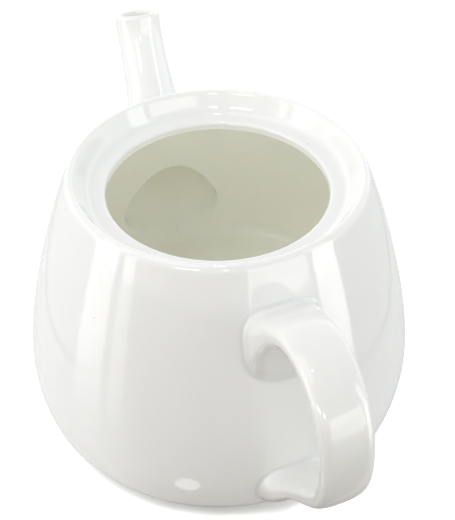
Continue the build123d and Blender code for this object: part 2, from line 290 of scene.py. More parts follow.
outer_wall = Wall(outside)           # runs up: distances grow away from the bowl
inner_face = Wall(hollow)            # runs down: distances grow into the hollow


def contour_outward(wall, angle, arc, passes):
    """Unit directions (around, along) on a wall that point out of a closed contour."""
    x, y = angle * wall.radius(arc), arc
    tangent_x = np.roll(x, -1) - np.roll(x, 1)
    tangent_y = np.roll(y, -1) - np.roll(y, 1)
    size = np.hypot(tangent_x, tangent_y) + 1e-12
    around, along = tangent_y / size, -tangent_x / size
    if (around * (x - x.mean()) + along * (y - y.mean())).sum() < 0:
        around, along = -around, -along
    around, along = smooth_loop(around, passes), smooth_loop(along, passes)
    size = np.hypot(around, along)
    return around / size, along / size


# =====================================================================
# swept grids: rows run along the sweep, columns round the section
# =====================================================================
def refine(table, count):
    """Natural spline through a station table, even along the mid line of its two edges."""
    t = arc_lengths((table[:, 0:2] + table[:, 2:4]) / 2)
    gaps = np.diff(t)
    slopes = np.diff(table, axis=0) / gaps[:, None]
    system, bends = np.eye(len(t)), np.zeros_like(table)
    for i in range(1, len(t) - 1):
        system[i, i - 1:i + 2] = gaps[i - 1], 2 * (gaps[i - 1] + gaps[i]), gaps[i]
        bends[i] = 6 * (slopes[i] - slopes[i - 1])
    bends = np.linalg.solve(system, bends)
    x = np.linspace(0, t[-1], count)
    k = np.clip(np.searchsorted(t, x, side="right") - 1, 0, len(t) - 2)
    gap = gaps[k][:, None]
    before, after = (t[k + 1] - x)[:, None] / gap, (x - t[k])[:, None] / gap
    return (before * table[k] + after * table[k + 1]
            + ((before ** 3 - before) * bends[k] + (after ** 3 - after) * bends[k + 1])
            * gap * gap / 6)


def section_grid(stations, sideways, outward, side):
    """Sections in space. outward is 1 at a station's first edge and -1 at its second."""
    first, second = stations[:, None, 0:2], stations[:, None, 2:4]
    edge = (first + second) / 2 + (first - second) / 2 * outward[..., None]
    return np.stack([side * edge[..., 0], sideways, edge[..., 1]], -1)


def spout_grid(stations, angles):
    cos, sin = np.cos(angles)[None, :], np.sin(angles)[None, :]
    half_width, widening = stations[:, 4, None], stations[:, 5, None]
    return section_grid(stations, half_width * cos * (1 + widening * sin), sin, side=1)


def handle_grid(stations, angles):
    """Superellipses, with a slight crown on the outer face where the strap is narrow."""
    cos, sin = np.cos(angles)[None, :], np.sin(angles)[None, :]
    half_width = stations[:, 4, None]
    power = np.where(sin > 0, 2 / stations[:, 5, None], 2 / stations[:, 6, None])
    across = half_width * np.sign(cos) * np.abs(cos) ** power
    outward = np.sign(sin) * np.abs(sin) ** power
    crown = 0.35 * np.clip((9.5 - half_width) / 2.0, 0, 1)
    outward += np.where(sin > 0, 1, 0) * crown * (1 - (across / half_width) ** 2) / 2.4
    return section_grid(stations, across, outward, side=-1)


def inset(stations):
    """The bore's stations: the spout's, less its wall."""
    bore = stations.copy()
    way = bore[:, 0:2] - bore[:, 2:4]
    way /= np.linalg.norm(way, axis=1)[:, None]
    wall, extra = bore[:, 6:7], bore[:, 7:8]
    bore[:, 0:2] -= way * (wall + extra)
    bore[:, 2:4] += way * wall
    bore[:, 4] -= wall[:, 0]
    return bore


def crossing(grid, distances, level):
    """Per column, the first fractional row where the distance falls to level, and its point."""
    over = distances - level
    falls = (over[:-1] > 0) & (over[1:] <= 0)
    row = np.where(falls.any(0), falls.argmax(0), len(over) - 2)
    column = np.arange(over.shape[1])
    here, there = over[row, column], over[row + 1, column]
    t = np.clip(here / (here - there + 1e-12), 0, 1)
    points = grid[row, column] * (1 - t)[:, None] + grid[row + 1, column] * t[:, None]
    return row + t, points


def row_points(grid, rows):
    """Points at fractional rows, one per column, by a Catmull-Rom curve through the rows."""
    last = len(grid) - 1
    rows = np.clip(rows, 0, last - 1e-9)
    k = rows.astype(int)
    t = (rows - k)[..., None]
    column = np.broadcast_to(np.arange(grid.shape[1]), rows.shape)
    a, b, c, d = (grid[np.clip(k + i, 0, last), column] for i in (-1, 0, 1, 2))
    return 0.5 * (2 * b + (c - a) * t + (2 * a - 5 * b + 4 * c - d) * t ** 2
                  + (3 * b - a - 3 * c + d) * t ** 3)


def row_span(grid, rows, behind, ahead):
    return row_points(grid, rows + ahead) - row_points(grid, rows - behind)


def rows_between(grid, first, last, steps):
    t = np.linspace(0, 1, steps + 1)[:, None]
    return row_points(grid, first * (1 - t) + last * t)


def grid_normals(grid, row, outward):
    """Unit normals of a grid of closed rows, turned to agree with outward on one row."""
    round_row = np.roll(grid, -1, 1) - np.roll(grid, 1, 1)
    normals = unit(np.cross(np.gradient(grid, axis=0), round_row))
    return normals * np.sign((normals[row] * outward).sum())


class Build:
    """Collects points and faces, then makes one Blender mesh."""

    def __init__(self):
        self.points, self.faces, self.count = [], [], 0
        self.normals, self.tone, self.pool = [], [], []

    def add(self, points, normals=None, tone=0.0, pool=0.0):
        """Adds points and returns their numbers, in the same layout."""
        points = np.asarray(points, float)
        shape = points.shape[:-1]
        if normals is None:
            normals = np.zeros_like(points)
        self.points.append(points.reshape(-1, 3))
        self.normals.append(normals.reshape(-1, 3))
        self.tone.append(np.broadcast_to(tone, shape).reshape(-1))
        self.pool.append(np.broadcast_to(pool, shape).reshape(-1))
        start = self.count
        self.count += len(self.points[-1])
        return np.arange(start, self.count).reshape(shape)

    def quads(self, *corners):
        self.faces += np.stack(corners, 1).tolist()

    def loft(self, rings):
        for a, b in zip(rings[:-1], rings[1:]):
            self.quads(a, np.roll(a, -1), np.roll(b, -1), b)

    def fan(self, ring, centre, tone=0.0):
        middle = int(self.add(centre, tone=tone))
        self.quads(ring, np.roll(ring, -1), np.full(len(ring), middle))

    def cap(self, ring, inner_ring, steps=4):
        """Closes a ring. inner_ring(t) gives its points shrunk by t."""
        rings = [ring] + [self.add(inner_ring(k / steps)) for k in range(1, steps)]
        self.loft(rings)
        self.fan(rings[-1], inner_ring(1.0)[0])

    def flat_cap(self, ring, points):
        self.cap(ring, lambda t: shrunk(points, t))

    def object(self, name):
        points = np.vstack(self.points) * MM
        used = np.zeros(len(points), bool)
        for face in self.faces:
            used[face] = True
        renumber = np.cumsum(used) - 1
        faces = [[int(renumber[i]) for i in face] for face in self.faces]
        mesh = bpy.data.meshes.new(name)
        mesh.from_pydata(points[used].tolist(), [], faces)
        mesh.update()
        for key, values in (("tone", self.tone), ("pool", self.pool)):
            attribute = mesh.attributes.new(key, "FLOAT", "POINT")
            attribute.data.foreach_set("value", np.concatenate(values)[used].astype(np.float32))
        bm = bmesh.new()
        bm.from_mesh(mesh)
        bmesh.ops.recalc_face_normals(bm, faces=bm.faces)
        bm.to_mesh(mesh)
        bm.free()
        mesh.polygons.foreach_set("use_smooth", [True] * len(mesh.polygons))
        mesh.update()
        given = np.vstack(self.normals)[used]
        if given.any():
            own = np.zeros(given.size)
            mesh.vertices.foreach_get("normal", own)
            is_given = np.linalg.norm(given, axis=1) > 0.5
            normals = np.where(is_given[:, None], given, own.reshape(-1, 3))
            mesh.normals_split_custom_set_from_vertices(normals.tolist())
        made = bpy.data.objects.new(name, mesh)
        bpy.context.scene.collection.objects.link(made)
        return made


# =====================================================================
# the pouring hole: the spout's bore and its rounded mouth inside the bowl
# =====================================================================
spout_stations = refine(SPOUT, SPOUT_STATIONS)
bore_stations = inset(spout_stations)


def hollow_distance(grid):
    """How far points are from the hollow, leaving out those above it or beyond the wall."""
    _, _, distance = inner_face.locate(grid)
    r = np.hypot(grid[..., 0], grid[..., 1])
    return np.where((grid[..., 2] > 78) | (r > 80), FAR, -distance)


def outer_crossing(grid, level):
    _, _, distance = outer_wall.locate(grid)
    return crossing(grid, np.where(grid[..., 2] > 95, FAR, distance), level)


def bore_mouth(angles):
    """The bore's grid, the rows where its rounding starts, the rounding, and the angle and
    arc of the contour where the rounding ends on the inner face."""
    grid = spout_grid(bore_stations, angles)
    rows, points = crossing(grid, hollow_distance(grid), 0.0)
    angle, arc, _ = inner_face.locate(points)
    travel = row_span(grid, rows, 0.5, 0.5)
    row_step = np.linalg.norm(travel, axis=1)
    around, along = contour_outward(inner_face, angle, arc, passes=12)
    away = inner_face.vector(angle, arc, around, along)
    turn = np.arccos(np.clip((unit(travel) * away).sum(1), -1, 1))
    # a soft lower edge, where the bore runs out into the floor
    least = MOUTH_LEAST + MOUTH_SOFT * np.clip(along, 0, 1) ** 2
    reach = smooth_loop(np.clip(MOUTH_RADIUS * np.tan(turn / 2), least, MOUTH_MOST), 12)
    pull = reach * (4 / 3) * np.tan(turn / 4) / np.maximum(np.tan(turn / 2), 0.15)
    pull = pull[:, None]
    wall_rows, _ = outer_crossing(grid, 0.0)
    start_rows = np.maximum(rows - reach / row_step, wall_rows + MOUTH_DEPTH_ROWS)
    start_rows = smooth_loop(start_rows, 4)
    start = row_points(grid, start_rows)
    start_way = unit(row_span(grid, start_rows, 0.5, 0.5))
    end_angle = angle + reach * around / inner_face.radius(arc)
    end_arc = arc + reach * along
    end = inner_face.point(end_angle, end_arc)
    end_way = inner_face.vector(end_angle, end_arc, around, along)
    rounding = bezier(start, start + start_way * pull, end - end_way * pull, end, MOUTH_STEPS)
    return grid, start_rows, rounding, end_angle, end_arc


def window(arcs, contour, margin):
    """First and last profile row of an opening that clears a contour."""
    first = int(np.searchsorted(arcs, contour.min() - margin)) - 1
    last = int(np.searchsorted(arcs, contour.max() + margin))
    return max(first, 0), min(last, len(arcs) - 1)


def window_loop(top, bottom, half):
    """Rows and columns round a window: along its top, down, back along its bottom, up."""
    step = 1 if bottom > top else -1
    return np.array([(top, j) for j in range(-half, half)]
                    + [(k, half) for k in range(top, bottom, step)]
                    + [(bottom, j) for j in range(half, -half, -1)]
                    + [(k, -half) for k in range(bottom, top, -step)]).T


# a dense trial of the mouth sizes the windows, which need equal row counts
dense_angles = np.linspace(0, 2 * math.pi, 720, endpoint=False)
dense_bore, _, _, dense_angle, dense_arc = bore_mouth(dense_angles)
_, dense_exit = outer_crossing(dense_bore, 0.0)
_, exit_arc, _ = outer_wall.locate(dense_exit)
window_half = int(math.ceil((np.abs(dense_angle).max() + 0.045) / COLUMN_ANGLE))
in_first, in_last = window(inner_face.arcs, dense_arc, margin=2.5)
out_first, out_last = window(outer_wall.arcs, exit_arc, margin=1.2)
window_rows = max(in_last - in_first, out_last - out_first)
while in_last - in_first < window_rows:
    if in_last < len(inner_face.arcs) - 4:
        in_last += 1
    else:
        in_first -= 1
while out_last - out_first < window_rows:
    if out_first > 1:
        out_first -= 1
    else:
        out_last += 1
inner_loop = window_loop(in_first, in_last, window_half)
outer_loop = window_loop(out_last, out_first, window_half)


def match_columns(loop):
    """Section angles whose mouth points lie in line with the points of a window's edge."""
    flat_radius = 68.0               # turns angles into lengths near the hole
    middle = (dense_arc.min() + dense_arc.max()) / 2
    rows, columns = loop
    wanted = np.arctan2(-(inner_face.arcs[rows] - middle), columns * COLUMN_ANGLE * flat_radius)
    found = np.arctan2(-(dense_arc - middle), dense_angle * flat_radius)
    order = np.argsort(found)
    found, angles = found[order], np.unwrap(dense_angles[order])
    turn = 2 * math.pi * np.sign(angles[-1] - angles[0])
    return np.interp(wanted, np.r_[found - 2 * math.pi, found, found + 2 * math.pi],
                     np.r_[angles - turn, angles, angles + turn])


spout_angles = match_columns(inner_loop)
bore, mouth_rows, mouth_rounding, mouth_angle, mouth_arc = bore_mouth(spout_angles)
wall_rows, wall_contour = outer_crossing(bore, 0.0)
slip_rows, _ = outer_crossing(bore, SLIP)
wall_angle, wall_arc, _ = outer_wall.locate(wall_contour)
# how much painted shade the bore gets: 1 at the top of the bore, 0 over its lower third
bore_shade = np.clip((wall_contour[:, 2] - wall_contour[:, 2].min())
                     / np.ptp(wall_contour[:, 2]) * 1.5 - 0.5, 0, 1)


# =====================================================================
# body: one closed casting
# =====================================================================
def profile_tone(profile, first_outer, first_inside):
    """1 in the hollow, where the colour takes on painted light; -1 on the bare foot."""
    rows, z = np.arange(len(profile)), profile[:, 1]
    inside = np.where(rows > first_inside, np.clip((90.6 - z) / 3.0, 0, 1), 0.0)
    foot = np.where(rows < first_outer, np.clip((0.9 - z) / 0.5, 0, 1), 0.0)
    return inside - foot


def profile_pool(profile):
    """Glaze gathers in concave bends and thins over convex ones."""
    arcs = arc_lengths(profile)
    tangent = np.gradient(profile, arcs, axis=0)
    bend = np.gradient(np.unwrap(np.arctan2(tangent[:, 1], tangent[:, 0])), arcs)
    for _ in range(6):
        bend[1:-1] = 0.25 * bend[:-2] + 0.5 * bend[1:-1] + 0.25 * bend[2:]
    return np.clip(-bend * 2.2, 0, 1) - np.clip(bend * 0.9 - 0.25, 0, 1)


def bridge(build, ids, first_row, loop, wall, to_angle, to_arc, steps, tone):
    """Rings on a wall from a window's edge to just short of a contour of the same count."""
    rows, columns = loop
    from_angle, from_arc = columns * COLUMN_ANGLE, wall.arcs[rows]
    rings = [ids[first_row + rows, columns % COLUMNS]]
    for i in range(1, steps):
        t = i / steps
        t = t * t * (3 - 2 * t)
        rings.append(build.add(wall.point(from_angle * (1 - t) + to_angle * t,
                                          from_arc * (1 - t) + to_arc * t), tone=tone))
    return rings


def build_body():
    profile = join(underside, outside, rim, hollow)
    outer_row = len(underside) - 1
    inner_row = outer_row + len(outside) + len(rim) - 2
    build = Build()
    angles = np.arange(COLUMNS) * COLUMN_ANGLE
    r, z = profile[:, :1], profile[:, 1:]
    grid = np.stack([r * np.cos(angles), r * np.sin(angles), np.repeat(z, COLUMNS, 1)], -1)
    tone = profile_tone(profile, outer_row, outer_row + len(outside))
    ids = build.add(grid, tone=tone[:, None], pool=profile_pool(profile)[:, None])
    windows = ((outer_row + out_first, outer_row + out_last),
               (inner_row + in_first, inner_row + in_last))
    for row in range(len(profile) - 1):
        columns = np.arange(COLUMNS)
        if any(first <= row < last for first, last in windows):
            columns = columns[window_half:COLUMNS - window_half]
        after = (columns + 1) % COLUMNS
        build.quads(ids[row, columns], ids[row, after], ids[row + 1, after],
                    ids[row + 1, columns])
    build.fan(ids[0][::-1], [0, 0, RECESS_Z + 0.3])
    build.fan(ids[-1], [0, 0, FLOOR_Z + 0.4], tone=1.0)

    # the hole: inner face, rounded mouth, bore, outer wall
    rings = bridge(build, ids, inner_row, inner_loop, inner_face, mouth_angle, mouth_arc,
                   steps=9, tone=1.0)
    rings += [build.add(ring, tone=1.0, pool=-0.2) for ring in mouth_rounding[::-1]]
    # the bore's rings take painted shade, more of it towards the wall
    for t in (0.25, 0.5, 0.75, 0.94, 0.99):
        rings.append(build.add(row_points(bore, mouth_rows * (1 - t) + wall_rows * t),
                               tone=1.0 + bore_shade * (0.45 + 0.55 * t)))
    rings.append(build.add(wall_contour, tone=1.0 + bore_shade))
    rings += bridge(build, ids, outer_row, outer_loop, outer_wall, wall_angle, wall_arc,
                    steps=4, tone=0.0)[::-1]
    build.loft(rings)
    return build.object("porcelain_body")


# =====================================================================
# roots: where a strap or tube flows into the wall
# =====================================================================
def root(grid, level, reach, start_row):
    """Ends a grid whose rows run towards the wall. Gives the last free row of each column,
    the concave blend on to the wall, and the angle, arc and normals of its end contour.
    reach is its least length and what a shallow meeting adds."""
    _, _, distance = outer_wall.locate(grid)
    distance[:start_row] = FAR
    rows, _ = crossing(grid, distance, level)
    rows = smooth_loop(rows, 3)
    start = row_points(grid, rows)
    start_way = unit(row_span(grid, rows, 0.6, 0.6))
    angle, arc, _ = outer_wall.locate(start)
    if np.abs(angle).mean() > 1:     # on the -X side, keep clear of the jump at half a turn
        angle = np.mod(angle, 2 * math.pi)
    around, along = contour_outward(outer_wall, angle, arc, passes=8)
    away = outer_wall.vector(angle, arc, around, along)
    length = smooth_loop(reach[0] + reach[1] * np.clip((start_way * away).sum(1), 0, 1), 6)
    end_arc = np.maximum(arc + length * along, ROOT_LOWEST_ARC)
    end_angle = angle + length * around / outer_wall.radius(arc)
    end = outer_wall.point(end_angle, end_arc)
    end_way = outer_wall.vector(end_angle, end_arc, around, along)
    pull = np.linalg.norm(end - start, axis=1)[:, None] * ROOT_EASE
    blend = bezier(start, start + start_way * pull, end - end_way * pull, end, ROOT_STEPS)
    return rows, blend, end_angle, end_arc, outer_wall.normal(end_angle, end_arc)


def bead_pool(count):
    """Glaze gathers along the middle of a slip bead."""
    return (np.sin(np.linspace(0, 1, count) * math.pi) ** 0.8)[:, None]


def build_handle_bead(name, points, normals, angle, arc, wall_end):
    """A bead between the strap and the wall. wall_end is its row on the wall, 0 or -1."""
    build = Build()
    ids = build.add(points, normals, pool=bead_pool(len(points)))
    build.loft(ids)
    build.cap(ids[wall_end], lambda t: outer_wall.point(shrunk(angle, t), shrunk(arc, t)))
    strap_end = -1 - wall_end
    build.flat_cap(ids[strap_end], points[strap_end])
    return build.object(name)


def build_handle():
    """The strap, then its upper and lower slip beads."""
    angles = np.linspace(0, 2 * math.pi, HANDLE_COLUMNS, endpoint=False)
    grid = handle_grid(refine(HANDLE, HANDLE_STATIONS), angles)
    half = HANDLE_STATIONS // 2
    upper_rows, upper_blend, upper_angle, upper_arc, upper_normals = root(
        grid[half::-1], level=1.15 + 0.45 * np.sin(angles), reach=(1.5, 1.3), start_row=40)
    lower_rows, lower_blend, lower_angle, lower_arc, lower_normals = root(
        grid[half:], level=1.1 + 0.1 * np.sin(angles), reach=(1.6, 1.2), start_row=40)
    strap = rows_between(grid, half - upper_rows, half + lower_rows, HANDLE_ROWS)
    full = np.concatenate([upper_blend[::-1], strap[1:-1], lower_blend], 0)
    normals = grid_normals(full, half, full[half] - full[half].mean(0))
    normals[0], normals[-1] = upper_normals, lower_normals
    first, last = ROOT_STEPS, ROOT_STEPS + HANDLE_ROWS

    build = Build()
    ids = build.add(full[first:last + 1], normals[first:last + 1], pool=-0.15)
    build.loft(ids)
    build.flat_cap(ids[0], full[first])
    build.flat_cap(ids[-1], full[last])
    return (
        build.object("porcelain_handle"),
        build_handle_bead("handle_upper_slip_bead", full[:first + 1], normals[:first + 1],
                          upper_angle, upper_arc, wall_end=0),
        build_handle_bead("handle_lower_slip_bead", full[last:], normals[last:],
                          lower_angle, lower_arc, wall_end=-1))


def build_spout():
    """The spout, then the slip bead round its root."""
    grid = spout_grid(spout_stations, spout_angles)
    root_rows, blend, root_angle, root_arc, root_normals = root(
        grid, level=1.9 - 0.9 * np.sin(spout_angles), reach=(2.4, 1.6), start_row=70)
    lip_rows = np.full(len(spout_angles), LIP_ROW)
    outer = rows_between(grid, root_rows, lip_rows, SPOUT_ROWS)
    lip_start, lip_end = outer[-1], row_points(bore, lip_rows)
    up = -unit(row_span(grid, lip_rows, 1.5, 0.5)) * LIP_RISE
    lip = bezier(lip_start, lip_start + up, lip_end + up, lip_end, LIP_STEPS)
    inner = rows_between(bore, lip_rows, slip_rows, SPOUT_ROWS)
    full = np.concatenate([blend[::-1], outer[1:], lip[1:], inner[1:]], 0)
    probe = len(blend) + 40          # a row well up the outside
    normals = grid_normals(full, probe, full[probe] - full[probe].mean(0))
    normals[0] = root_normals
    first = ROOT_STEPS               # the bead ends and the spout starts
    bore_start = first + SPOUT_ROWS + LIP_STEPS

    # painted shade inside the spout: the bore's colour darkens with depth from the tip and meets
    # the body's bore at the wall
    tone = np.zeros((len(full), 1))
    tone[bore_start:, 0] = np.linspace(0.0, 1.0, len(full) - bore_start) ** 0.5
    pool = np.zeros((len(full), 1))
    pool[first + SPOUT_ROWS - 2:bore_start] = -0.5
    depth = np.clip((tone - 0.3) / 0.7, 0, 1)
    shade = np.maximum(bore_shade[None, :], 1.0 - np.clip((tone - 0.72) / 0.28, 0, 1))
    seam = 0.5 * (full[first] + full[-1])       # closes the cut through the spout's wall
    build = Build()
    ids = build.add(full[first:], normals[first:], tone=(tone + depth * shade)[first:],
                    pool=pool[first:])
    build.loft(ids)
    build.loft([ids[-1], build.add(seam), ids[0]])
    spout = build.object("porcelain_spout")

    build = Build()
    ids = build.add(full[:first + 1], normals[:first + 1], pool=bead_pool(first + 1))
    build.loft(ids)
    lining = np.stack([full[-1], row_points(bore, 0.5 * (slip_rows + wall_rows)), wall_contour])
    # the lining takes the bore's painted shade
    lining_ids = build.add(lining, grid_normals(lining, 0, normals[-1]),
                           tone=(1.0 + bore_shade)[None, :])
    build.loft(lining_ids)
    build.loft([ids[-1], build.add(seam), lining_ids[0]])
    wall_ring = build.add(outer_wall.point(0.5 * (root_angle + wall_angle),
                                           0.5 * (root_arc + wall_arc)))
    build.loft([lining_ids[-1], wall_ring, ids[0]])
    return spout, build.object("spout_slip_bead")


body = build_body()
handle, upper_bead, lower_bead = build_handle()
spout, spout_bead = build_spout()

for piece, node, slot in (
        (body, "body", "glaze"), (handle, "handle", "glaze"), (spout, "spout", "glaze"),
        (upper_bead, "handle_upper_slip_joint", "slip"),
        (lower_bead, "handle_lower_slip_joint", "slip"),
        (spout_bead, "spout_slip_joint", "slip")):
    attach(piece, "root")
    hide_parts(node)


# =====================================================================
# materials
# =====================================================================
class Graph:
    """Empties a node tree and wires new nodes in it."""

    def __init__(self, owner):
        owner.use_nodes = True
        self.tree = owner.node_tree
        self.tree.nodes.clear()

    def new(self, kind, inputs=None, **settings):
        node = self.tree.nodes.new(kind)
        for name, value in settings.items():
            setattr(node, name, value)
        for key, value in (inputs or {}).items():
            if isinstance(value, bpy.types.NodeSocket):
                self.tree.links.new(value, node.inputs[key])
            else:
                node.inputs[key].default_value = value
        return node

    def coords(self, kind):
        return self.new("ShaderNodeTexCoord").outputs[kind]

    def calc(self, operation, a, b=0.0, c=0.0):
        return self.new("ShaderNodeMath", {0: a, 1: b, 2: c}, operation=operation).outputs[0]

    def dot(self, direction, vector):
        return self.new("ShaderNodeVectorMath", {0: vector, 1: tuple(map(float, direction))},
                        operation="DOT_PRODUCT").outputs["Value"]

    def noise(self, vector, scale, detail, rough=0.5, distort=0.0):
        return self.new("ShaderNodeTexNoise", {
            "Vector": vector, "Scale": scale, "Detail": detail, "Roughness": rough,
            "Distortion": distort}).outputs["Fac"]

    def ramp(self, value, span, out=(0.0, 1.0)):
        """Smooth step over span, from out[0] to out[1]."""
        return self.new("ShaderNodeMapRange", {
            "Value": value, "From Min": span[0], "From Max": span[1],
            "To Min": out[0], "To Max": out[1]},
            clamp=True, interpolation_type="SMOOTHSTEP").outputs["Result"]

    def mix(self, factor, a, b):
        a, b = (c + (1.0,) if isinstance(c, tuple) else c for c in (a, b))
        return self.new("ShaderNodeMix", {0: factor, 6: a, 7: b},
                        data_type="RGBA", blend_type="MIX").outputs[2]

    def attribute(self, name):
        return self.new("ShaderNodeAttribute", attribute_name=name).outputs["Fac"]

    def bump(self, height, strength):
        return self.new("ShaderNodeBump", {
            "Strength": strength, "Distance": MM, "Height": height}).outputs["Normal"]


# painted light: the hollow's warmer, brighter white stands for light coming through the thin
# walls and bouncing inside
# painted shade: the bore's darker olive stands for the shade deep in the bore
HOLLOW_PAINTED_LIGHT_COLOUR, BORE_PAINTED_SHADE_COLOUR = (0.953, 0.952, 0.911), (0.800, 0.795, 0.640)
POOLED_COLOUR, THIN_COLOUR = (0.850, 0.857, 0.838), (0.905, 0.895, 0.870)
SPECK_COLOUR = (0.36, 0.29, 0.21)
BISCUIT_DARK, BISCUIT_PALE = (0.74, 0.69, 0.60), (0.84, 0.80, 0.72)


def glaze_colour(g, place, white, thick, foot, inside, cell_distance, cell_random):
    """An earlier form, replaced by the definition below; it returns nothing. inside is not used,
    and foot is a mask.
    """
    tone, pool = foot.tone, foot.pool
    return None


def glaze_colour(g, place, white, thick, tone, pool, foot, cell_distance, cell_random):
    """The colour socket, and the noise that is the grit of the bare foot."""
    inside = g.ramp(tone, span=(0.0, 1.0))
    # broad drift of glaze thickness, finer mottle
    broad = g.noise(place, scale=17.0, detail=2.0, rough=0.5, distort=0.4)
    fine = g.noise(place, scale=150.0, detail=3.0, rough=0.55)
    base = g.mix(g.ramp(broad, span=(0.33, 0.68)), white, thick)
    base = g.mix(g.ramp(fine, span=(0.35, 0.7), out=(0.0, 0.35)), base,
                 tuple(0.985 * c for c in white))
    # painted light in the hollow, painted shade in the bore, pooled glaze, thin edges
    base = g.mix(g.ramp(inside, span=(0.0, 1.0), out=(0.0, 0.95)), base, HOLLOW_PAINTED_LIGHT_COLOUR)
    base = g.mix(g.ramp(tone, span=(1.0, 2.0), out=(0.0, 0.9)), base, BORE_PAINTED_SHADE_COLOUR)
    base = g.mix(g.ramp(pool, span=(0.05, 0.9), out=(0.0, 0.35)), base, POOLED_COLOUR)
    thin = g.calc("MULTIPLY", pool, -1.0)
    base = g.mix(g.ramp(thin, span=(0.15, 0.9), out=(0.0, 0.30)), base, THIN_COLOUR)
    # sparse iron specks, in the few cells whose first random number is high
    rare = g.calc("GREATER_THAN", cell_random[0], 0.972)
    dot = g.ramp(cell_distance, span=(0.035, 0.075), out=(1.0, 0.0))
    strength = g.ramp(cell_random[1], span=(0.0, 1.0), out=(0.15, 0.6))
    speck = g.calc("MULTIPLY", g.calc("MULTIPLY", rare, dot), strength)
    base = g.mix(speck, base, SPECK_COLOUR)
    # bare biscuit under the foot
    grit = g.noise(place, scale=900.0, detail=4.0, rough=0.7)
    biscuit = g.mix(g.ramp(grit, span=(0.3, 0.7)), BISCUIT_DARK, BISCUIT_PALE)
    return g.mix(foot, base, biscuit), grit


def glaze_roughness(g, place, rough, foot):
    """Nearly mirror-like, a little duller in broad patches, matt on the foot."""
    dull = g.noise(place, scale=46.0, detail=3.0, rough=0.6, distort=0.6)
    glazed = g.ramp(dull, span=(0.35, 0.75), out=(rough, rough + 0.035))
    grain = g.noise(place, scale=620.0, detail=2.0)
    glazed = g.calc("ADD", glazed, g.ramp(grain, span=(0.4, 0.8), out=(0.0, 0.012)))
    biscuit = 0.78
    return g.new("ShaderNodeMix", {0: foot, 2: glazed, 3: biscuit},
                 data_type="FLOAT").outputs[0]


def glaze_height(g, place, foot, grit, cell_distance, cell_random):
    """Surface height in millimetres."""
    rings = g.new("ShaderNodeTexWave", {
        "Vector": place, "Scale": 34.0, "Distortion": 2.2, "Detail": 2.0, "Detail Scale": 0.6},
        wave_type="BANDS", bands_direction="Z", wave_profile="SIN").outputs["Fac"]
    slow = g.noise(place, scale=30.0, detail=1.0)
    peel = g.noise(place, scale=260.0, detail=2.0)
    tiny = g.noise(place, scale=1100.0, detail=1.0)
    pinhole = g.ramp(cell_distance, span=(0.02, 0.05), out=(-1.0, 0.0))
    pinhole = g.calc("MULTIPLY", pinhole, g.calc("LESS_THAN", cell_random[2], 0.02))
    height = g.calc("MULTIPLY", rings, 0.012)
    for layer, depth in ((slow, 0.11), (peel, 0.022), (tiny, 0.0016), (pinhole, 0.03)):
        height = g.calc("MULTIPLY_ADD", layer, depth, height)
    foot_grit = g.calc("MULTIPLY", g.calc("MULTIPLY", grit, 0.09), foot)
    return g.calc("ADD", height, foot_grit)


def porcelain(name, white, thick, rough):
    """Clear glaze over white porcelain. The 'tone' attribute is 1 in the hollow, with painted
    light, 2 deep in the bore, with painted shade, and -1 on the bare foot; 'pool' is positive
    where glaze gathers and negative where it runs thin over an edge."""
    material = bpy.data.materials.new(name)
    g = Graph(material)
    place = g.new("ShaderNodeMapping", {
        "Vector": g.coords("Object"), "Location": (0.37, 0.11, 0.23)}).outputs["Vector"]
    tone, pool = g.attribute("tone"), g.attribute("pool")
    foot = g.ramp(g.calc("MULTIPLY", tone, -1.0), span=(0.25, 0.75))
    cells = g.new("ShaderNodeTexVoronoi", {"Vector": place, "Scale": 210.0}, feature="F1")
    distance = cells.outputs["Distance"]
    random = g.new("ShaderNodeSeparateColor", {"Color": cells.outputs["Color"]}).outputs
    colour, grit = glaze_colour(g, place, white, thick, tone, pool, foot, distance, random)
    roughness = glaze_roughness(g, place, rough, foot)
    height = glaze_height(g, place, foot, grit, distance, random)
    shader = g.new("ShaderNodeBsdfPrincipled", {
        "Base Color": colour,
        "Roughness": roughness,
        "IOR": 1.53,
        "Subsurface Weight": 0.12,
        "Subsurface Radius": (1.0, 0.75, 0.5),
        "Subsurface Scale": 0.0022,
        "Coat Weight": g.ramp(foot, span=(0.0, 1.0), out=(0.22, 0.0)),
        "Coat Roughness": 0.02,
        "Coat IOR": 1.5,
        "Normal": g.bump(height, strength=1.0),
        "Coat Normal": g.bump(height, strength=0.6)})
    g.new("ShaderNodeOutputMaterial", {"Surface": shader.outputs["BSDF"]})
    return material


GLAZE = {"white": (0.903, 0.904, 0.901), "thick": (0.888, 0.890, 0.882)}
# painted shade: the handle's glaze is a darker copy of the bowl's
HANDLE_PAINTED_SHADE_GLAZE = {"white": (0.866, 0.863, 0.848), "thick": (0.852, 0.851, 0.832)}
SLIP_GLAZE = {"white": (0.898, 0.896, 0.884), "thick": (0.882, 0.884, 0.866)}
body.data.materials.append(porcelain("glaze_bowl", rough=0.030, **GLAZE))
spout.data.materials.append(porcelain("glaze_spout", rough=0.034, **GLAZE))
handle.data.materials.append(porcelain("glaze_handle", rough=0.034, **HANDLE_PAINTED_SHADE_GLAZE))
for bead in (upper_bead, lower_bead, spout_bead):
    bead.data.materials.append(porcelain(bead.name + "_glaze", rough=0.042, **SLIP_GLAZE))

# =====================================================================
# studio, in metres
# =====================================================================
RIGHT = np.array([-0.34202, -0.93969, 0.0])     # the camera's right
TOWARD = np.array([-0.93969, 0.34202, 0.0])     # from the pot to the camera, level
UP = (0, 0, 1)

